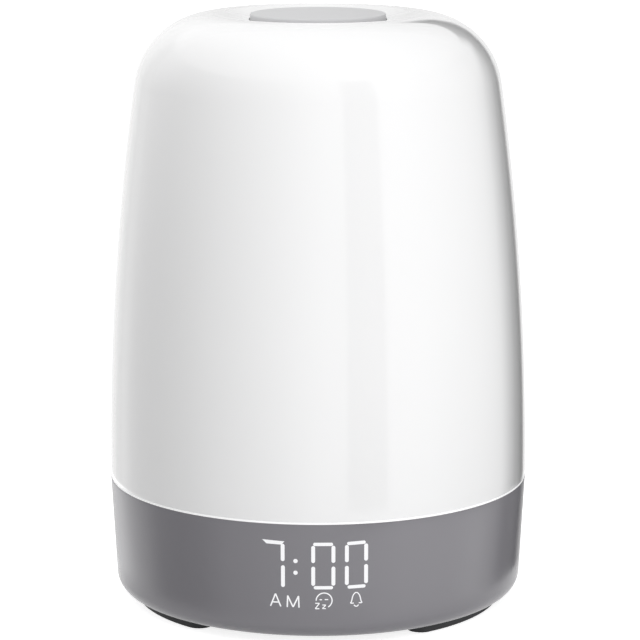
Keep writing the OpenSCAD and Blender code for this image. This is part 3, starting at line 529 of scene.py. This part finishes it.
housing_outline = outline(
    (housing_r(Z_RIM), Z_RIM, 0.2),
    arc(CORNER, CORNER_R, -TAPER_ANGLE, -90, 24),
    (PLATE_HOLE_R, Z_UNDER, 0.12), (PLATE_HOLE_R, Z_PLATE), (FLANGE_R, Z_PLATE),
    (FLANGE_R, Z_FLANGE), (housing_r(Z_FLANGE, WALL), Z_FLANGE),
    (housing_r(Z_RIM, WALL), Z_RIM, 0.2))
housing = piece("housing_shell", [revolve(housing_outline)], "clock_body", "base_plastic",
                ["base_housing"])
cut(housing, [slab_between(*DISPLAY_X, *DISPLAY_Z, DISPLAY_Y, WINDOW_T)]
    + [rod_y(KEY_HOLE_R, x, KEY_Z, KEY_FLOOR, BEYOND) for x in KEY_X]
    + [stadium_y(USB_W, USB_H, USB_Z, USB_FLOOR, BEYOND)])

# ---- snooze button ------------------------------------------------------------------------------

BUTTON_R, Z_BUTTON, Z_FACE = 20.0, 175.35, 173.35
SKIRT_R, STOP_R = BUTTON_R - 1.6, 21.5
Z_STOP_TOP, Z_STOP_UNDER = Z_COLLAR - 0.3, Z_COLLAR - 1.5
STEM_R, STEM_TIP_R, Z_STEM = 4.4, 3.8, Z_FACE - 6.6
button_outline = outline(
    (0.0, Z_BUTTON), (BUTTON_R, Z_BUTTON, 0.5), (BUTTON_R, Z_STOP_TOP),
    (STOP_R, Z_STOP_TOP, 0.2), (STOP_R, Z_STOP_UNDER, 0.2), (SKIRT_R, Z_STOP_UNDER),
    (SKIRT_R, Z_FACE), (STEM_R, Z_FACE), (STEM_TIP_R, Z_STEM), (0.0, Z_STEM))
piece("button_cap", [revolve(button_outline, 192, closed=False)], "snooze_button",
      "button_plastic", ["snooze_button"])

# ---- return spring ------------------------------------------------------------------------------

SPRING_R, WIRE, TURNS = 12.8, 1.2, 4
Z_SEAT, SPRING_GAP, PRESS = 159.35, 0.05, 1.0


def coil_spring(radius, wire, z0, z1, turns, steps=48, sides=16):
    """A round wire along a helix about Z. Its centre is (radius cos a, radius sin a, z), with z
    rising evenly from z0 to z1, its section a circle in the plane of the radius and Z, and each end
    is closed by a fan from its middle."""
    a = np.linspace(0, 2 * np.pi * turns, turns * steps + 1)[:, None]
    b = np.linspace(0, 2 * np.pi, sides, endpoint=False)
    r = radius + wire / 2 * np.cos(b)
    z = z0 + (z1 - z0) * a / a[-1] + wire / 2 * np.sin(b)
    ring = np.stack([np.cos(a) * r, np.sin(a) * r, z], 2)
    middle = np.repeat(ring[[0, -1]].mean(1, keepdims=True), sides, axis=1)
    points = np.concatenate([middle[:1], ring, middle[1:]])
    return points.reshape(-1, 3), quads(len(points), sides, False, True)


spring = piece("return_spring", [coil_spring(
    SPRING_R, WIRE, Z_SEAT + SPRING_GAP + WIRE / 2, Z_FACE - SPRING_GAP - WIRE / 2, TURNS)],
    "clock_body", "spring_steel", ["snooze_spring"])
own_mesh(spring)

# ---- figures on the wall ------------------------------------------------------------------------

GLOW_LIFT, GLOW_SINK = 0.03, 0.06   # how far a shining figure stands out of the wall and goes in
# How far apart a stroke's points are, how far off it looks for its direction, and the steps of its
# end.
STROKE_STEP, STROKE_LOOK, TIP_STEPS = 0.3, 0.02, 6
BAR, CROSS_BAR, DOT = 1.1, 0.98, 1.26
LETTER, LETTER_BAR, FACE_LINE, EYE, BELL_LINE = 0.4, 0.36, 0.34, 0.3, 0.32


def on_wall(x, z, lift, side):
    """Points on the housing's wall, moved outwards by lift; side is -1 at the front and 1 at the
    rear."""
    r = housing_r(z, -lift)
    return np.stack([x, side * np.sqrt(r ** 2 - x ** 2), z], -1)


def ribbon(left, right, lift, sink, side, closed=False):
    """A thin solid on the wall between two lines of (x, z) points: its section is a flat four-sided
    outline from lift outside the wall to sink inside it, and open ends are closed."""
    rows = len(left)
    points = np.stack([on_wall(*left.T, lift, side), on_wall(*right.T, lift, side),
                       on_wall(*right.T, -sink, side), on_wall(*left.T, -sink, side)], 1)
    faces = quads(rows, 4, closed, True)
    if not closed:
        last = 4 * (rows - 1)
        ends = [[0, 1, 2, 3], [last + 3, last + 2, last + 1, last]]
        faces = np.concatenate([faces, ends])
    return points.reshape(-1, 3), faces


def stroke(path, width, lift=GLOW_LIFT, sink=GLOW_SINK, side=-1):
    """A bar of even width along a path of (x, z) points. Its half width falls to nothing over the
    last half width of each end as a quarter circle does."""
    path = np.array(path, float)
    length = np.concatenate([[0], np.cumsum(np.hypot(*np.diff(path, axis=0).T))])
    total = length[-1]
    tip = min(width, total) / 2
    end = tip * (1 - np.cos(np.linspace(0, np.pi / 2, TIP_STEPS + 1)))
    count = max(3, int((total - 2 * tip) / STROKE_STEP) + 2)
    middle = np.linspace(tip, total - tip, count)
    along = np.unique(np.round(np.concatenate([end, middle[1:-1], (total - end)[::-1]]), 6))
    places = along, np.minimum(along + STROKE_LOOK, total), np.maximum(along - STROKE_LOOK, 0)
    spot, ahead, behind = (np.stack([np.interp(at, length, path[:, k]) for k in (0, 1)], 1)
                           for at in places)
    way = ahead - behind
    way /= np.linalg.norm(way, axis=1)[:, None]
    near = np.clip(tip - np.minimum(along, total - along), 0, tip) / tip
    half = width / 2 * np.sqrt(np.clip(1 - near ** 2, 0, 1))
    offset = np.stack([-way[:, 1], way[:, 0]], 1) * half[:, None]
    return ribbon(spot + offset, spot - offset, lift, sink, side)


def slanted_bar(outer, inner):
    """A bar whose two long edges are given by their end points, for a slanted end."""
    t = np.linspace(0, 1, 16)[:, None]
    edges = [np.array(a) * (1 - t) + np.array(b) * t for a, b in (outer, inner)]
    return ribbon(*edges, GLOW_LIFT, GLOW_SINK, -1)


def bell(x, z, size):
    """A bell's outline as strokes: two sides that spread to the rim, a domed top and a clapper."""
    left = [(-0.87, -0.78), (-0.7, -0.52), (-0.65, -0.3), (-0.56, 0.15), (-0.45, 0.45),
            (-0.25, 0.75)]
    side = left + [(0.0, 0.86)] + [(-a, b) for a, b in left[::-1]]
    lines = [side, [(-0.87, -0.78), (-0.34, -0.78)], [(0.34, -0.78), (0.87, -0.78)],
             arc((0, -0.98), 0.32, 190, 350, 8)]
    return [np.array(line) * size + (x, z) for line in lines]


# The seven's slanted top bar, the other bars of the digits, and the colon.
figures = [slanted_bar([(-15.8, 32.25), (-9.5, 31.95)], [(-14.62, 31.1), (-10.3, 30.95)])]
lines = [(BAR, [(x, z0), (x, z1)]) for x, z0, z1 in (
    (-9.99, 26.05, 31.2), (-9.92, 18.3, 24.8), (-1.34, 25.7, 30.8), (4.39, 25.7, 30.8),
    (-1.33, 18.9, 24.6), (4.39, 18.9, 24.6), (8.2, 25.8, 30.9), (13.67, 26.0, 31.1),
    (8.2, 19.0, 24.7), (13.67, 19.25, 24.95))]
lines += [(CROSS_BAR, path) for path in (
    [(-1.35, 31.25), (4.3, 31.23)], [(-1.2, 18.32), (4.3, 18.3)],
    [(8.25, 31.32), (13.55, 31.55)], [(8.4, 18.33), (13.55, 18.48)])]
lines += [(DOT, [(-6.98, z), (-5.72, z)]) for z in (26.21, 22.72)]
# The letters A and M.
for path in ([(-13.5, 12.4), (-12.05, 16.25), (-10.55, 12.4)],
             [(-8.72, 12.3), (-8.6, 15.85), (-7.06, 12.4), (-5.5, 15.8), (-5.38, 12.25)]):
    lines += [(LETTER, pair) for pair in zip(path[:-1], path[1:])]
lines.append((LETTER_BAR, [(-13.0, 13.68), (-11.08, 13.72)]))
# The sleeping face with its two closed eyes and two small z.
lines.append((FACE_LINE, arc((1.76, 14.47), 2.26, 182, -60, 48)))
lines += [(EYE, path) for path in (
    [(0.42, 14.72), (1.2, 14.72)], [(1.9, 14.75), (2.95, 14.75)])]
for x0, x1, z0, z1, width in ((-0.78, 0.44, 12.03, 13.66, 0.3), (1.24, 2.28, 12.06, 13.14, 0.28)):
    lines += [(width, path) for path in (
        [(x0, z1), (x1, z1)], [(x1, z1), (x0, z0)], [(x0, z0), (x1, z0)])]
lines += [(BELL_LINE, path) for path in bell(10.91, 15.0, 1.95)]
figures += [stroke(path, width) for width, path in lines]
piece("display_glow", figures, "clock_body", "display_film", material=GLOW)

# ---- key symbols --------------------------------------------------------------------------------

KEY_PROUD = 0.6
PRINT_WIDTH, PRINT_LIFT, PRINT_SINK = 0.27, 0.02, 0.06


def symbol(name):
    """The strokes of a key's printed symbol, about its middle, as seen from behind the clock."""
    if name == "volume":
        horn = [(-1.5, -0.45), (-0.9, -0.45), (-0.15, -1.1), (-0.15, 1.1), (-0.9, 0.45),
                (-1.5, 0.45)]
        waves = [arc((-0.1, 0), 0.75, -42, 42, 12), arc((-0.1, 0), 1.4, -42, 42, 16)]
        return [horn + horn[:1]] + waves
    if name == "sound":
        return [[(0.25, -0.95), (0.25, 1.3)], [(0.25, 1.3), (1.0, 0.75), (1.05, 0.3)],
                arc((-0.22, -0.95), 0.36, 0, 360, 18)]
    if name == "clock":
        return [arc((0, 0), 1.45, 0, 360, 40), [(0, 0.95), (0, 0)], [(0, 0), (0.7, -0.4)]]
    if name == "alarm":
        return bell(0, 0.1, 1.45)
    rays = [[(r * math.cos(t), r * math.sin(t)) for r in (1.05, 1.6)]
            for t in np.arange(8) * math.pi / 4]
    return [arc((0, 0), 0.62, 0, 360, 24)] + rays


for key, x in zip(KEYS, KEY_X):
    strokes = [stroke(np.array(line) * (-1, 1) + (x, KEY_Z), PRINT_WIDTH, KEY_PROUD + PRINT_LIFT,
                      PRINT_SINK - KEY_PROUD, side=1) for line in symbol(key)]
    piece(key + "_symbol", strokes, key + "_key", "key_rubber", material=KEY_PRINT)

# ---- stage --------------------------------------------------------------------------------------

FLOOR_R, FLOOR_WHITE, FLOOR_LIFT = 3000.0, 0.8, 0.8


def bare_paint(name):
    """A material whose tree is empty."""
    made = bpy.data.materials.new(name)
    made.use_nodes = True
    made.node_tree.nodes.clear()
    return made, made.node_tree


def staged(name, mesh, paint):
    """An object that stands round the clock and isn't part of it."""
    made = bpy.data.objects.new(name, mesh)
    scene.collection.objects.link(made)
    mesh.materials.append(paint)
    return made


# The floor is lifted by a glow that the camera, gloss and clear pieces see, and that lights
# nothing.
floor_paint, tree = bare_paint("floor paint")
path = add(tree, "ShaderNodeLightPath").outputs
seen = sums(tree, "MAXIMUM", sums(tree, "MAXIMUM", path["Is Camera Ray"], path["Is Glossy Ray"]),
            path["Is Transmission Ray"])
white = add(tree, "ShaderNodeBsdfDiffuse", {
    "Color": (FLOOR_WHITE, FLOOR_WHITE, FLOOR_WHITE, 1)})
lift = add(tree, "ShaderNodeEmission", {"Strength": sums(tree, "MULTIPLY", seen, FLOOR_LIFT)})
both = add(tree, "ShaderNodeAddShader", {0: white.outputs[0], 1: lift.outputs[0]})
add(tree, "ShaderNodeOutputMaterial", {"Surface": both.outputs[0]})
floor_solid = revolve(np.array([(0.0, 0.0), (FLOOR_R, 0.0)]), 64, closed=False)
staged("floor", mesh_of("floor", [floor_solid]), floor_paint)

# The light comes from a tent of white cloth round the clock. How bright the cloth is at each angle
# from the front, counted towards +X, is given in steps of ten degrees for its wall and of thirty
# for its roof.
CLOTH_STEPS = 144
TENT_R, TENT_H = 150, 240
WALL_LIGHT = [1.3, 1.2, 1.0, 1.3, 1.3, 1.2, 1.0, 0.9, 0.9, 0.8, 0.7, 0.7,
              0.8, 0.8, 0.9, 0.9, 0.9, 0.8, 1.0, 0.8, 0.9, 1.0, 1.0, 1.0,
              0.9, 1.1, 1.1, 0.8, 0.5, 0.4, 0.4, 0.6, 0.7, 0.8, 0.9, 1.1]
ROOF_LIGHT = [1.4, 1.3, 1.1, 1.0, 0.9, 0.8, 0.9, 1.0, 1.3, 1.3, 1.4, 1.4]
TOP_LIGHT, TOP_R = 1.1, 60
# A dark gap in the wall: its angle at some heights, and at how many degrees from it towards the
# front and towards the rear the cloth begins to glow and has its full light.
GAP_HEIGHT = [165, 190, 211, 221]
GAP_ANGLE = [118, 127, 139, 148]
GAP_FRONT, GAP_REAR = (10, 23), (13, 19)
# A low band stands close round the housing, and a narrow black strip at the front.
BAND_R, BAND_H, BAND_LEAN = 78, 30, 0.085
BAND_LIGHT = [1.4, 1.5, 1.8, 2.0, 1.9, 1.8, 1.9, 1.1, 0.2, 0.3, 0.0, 1.0,
              0.9, 0.9, 1.0, 1.0, 1.0, 1.0, 1.0, 1.0, 1.0, 1.0, 1.0, 1.0,
              1.1, 1.2, 1.5, 1.8, 1.6, 1.3, 0.6, 0.4, 0.5, 1.0, 1.1, 1.3]
STRIP_R, STRIP_FOOT, STRIP_ANGLES = 148, 18, (12, 31)


def rise(values, start, end):
    """0 up to start, 1 from end, and even in between."""
    return np.clip((values - start) / (end - start), 0, 1)


def cloth(name, profile, levels, top=None, lean=0.0, gap=False, only=None):
    """A cloth turned about the clock's axis from a profile of (radius, height). Its glow at an
    angle comes from a list of levels spread evenly round it, and fades to the top level towards the
    axis. A lean makes it higher by that share at the front and lower at the rear, gap darkens it
    along the gap, and only keeps the part of it between two angles."""
    points, faces = revolve(np.array(profile, float), CLOTH_STEPS, closed=False)
    across, along_y = points[:, 0], points[:, 1]
    points[:, 2] *= 1 - lean * along_y / profile[0][0]
    angle = np.degrees(np.arctan2(across, -along_y)) % 360
    if only:
        middle = angle[faces].mean(1)
        faces = faces[(middle > only[0]) & (middle < only[1])]
    glow = np.interp(angle, np.linspace(0, 360, len(levels) + 1), np.append(levels, levels[0]))
    if top is not None:
        near = np.clip(1 - np.hypot(across, along_y) / TOP_R, 0, 1)
        glow = glow * (1 - near) + top * near
    if gap:
        away = angle - np.interp(points[:, 2], GAP_HEIGHT, GAP_ANGLE)
        glow = glow * np.maximum(rise(away, *GAP_REAR), rise(-away, *GAP_FRONT))
    mesh = bpy.data.meshes.new(name)
    mesh.from_pydata((points * MM).tolist(), [], faces.tolist())
    layer = mesh.attributes.new("glow", "FLOAT", "POINT")
    layer.data.foreach_set("value", glow.astype(np.float32))
    paint, tree = bare_paint(name)
    level = add(tree, "ShaderNodeAttribute", attribute_name="glow").outputs["Fac"]
    light = add(tree, "ShaderNodeEmission", {"Strength": level})
    add(tree, "ShaderNodeOutputMaterial", {"Surface": light.outputs[0]})
    made = staged(name, mesh, paint)
    made.visible_camera = False
    return made


cloth("tent wall", [(TENT_R, z) for z in (0, 50, *range(100, TENT_H + 1, 10))], WALL_LIGHT,
      gap=True)
cloth("tent roof", [(TENT_R, TENT_H), (120, 285), (90, 330), (65, 345), (40, 360), (20, 365),
                    (0, 370)], ROOF_LIGHT, TOP_LIGHT)
band = cloth("low band", [(BAND_R, z) for z in range(0, BAND_H + 1, 10)], BAND_LIGHT,
             lean=BAND_LEAN)
strip = cloth("black strip", [(STRIP_R, STRIP_FOOT), (STRIP_R, TENT_H)], [0.0],
              only=STRIP_ANGLES)
for card in (band, strip):   # only gloss sees them
    card.visible_diffuse = card.visible_transmission = card.visible_shadow = False

# Outside the tent all is white. The camera sees it a little brighter than it shines.
world = bpy.data.worlds.new("studio")
scene.world = world
world.use_nodes = True
tree = world.node_tree
tree.nodes.clear()
path = add(tree, "ShaderNodeLightPath").outputs
shines = add(tree, "ShaderNodeBackground", {"Color": (1, 1, 1, 1), "Strength": 0.9})
looks = add(tree, "ShaderNodeBackground", {"Color": (1, 1, 1, 1), "Strength": 1.0})
shown = add(tree, "ShaderNodeMixShader", {0: path["Is Camera Ray"], 1: shines.outputs[0],
                                          2: looks.outputs[0]})
add(tree, "ShaderNodeOutputWorld", {"Surface": shown.outputs[0]})

scene.view_settings.view_transform = "Standard"
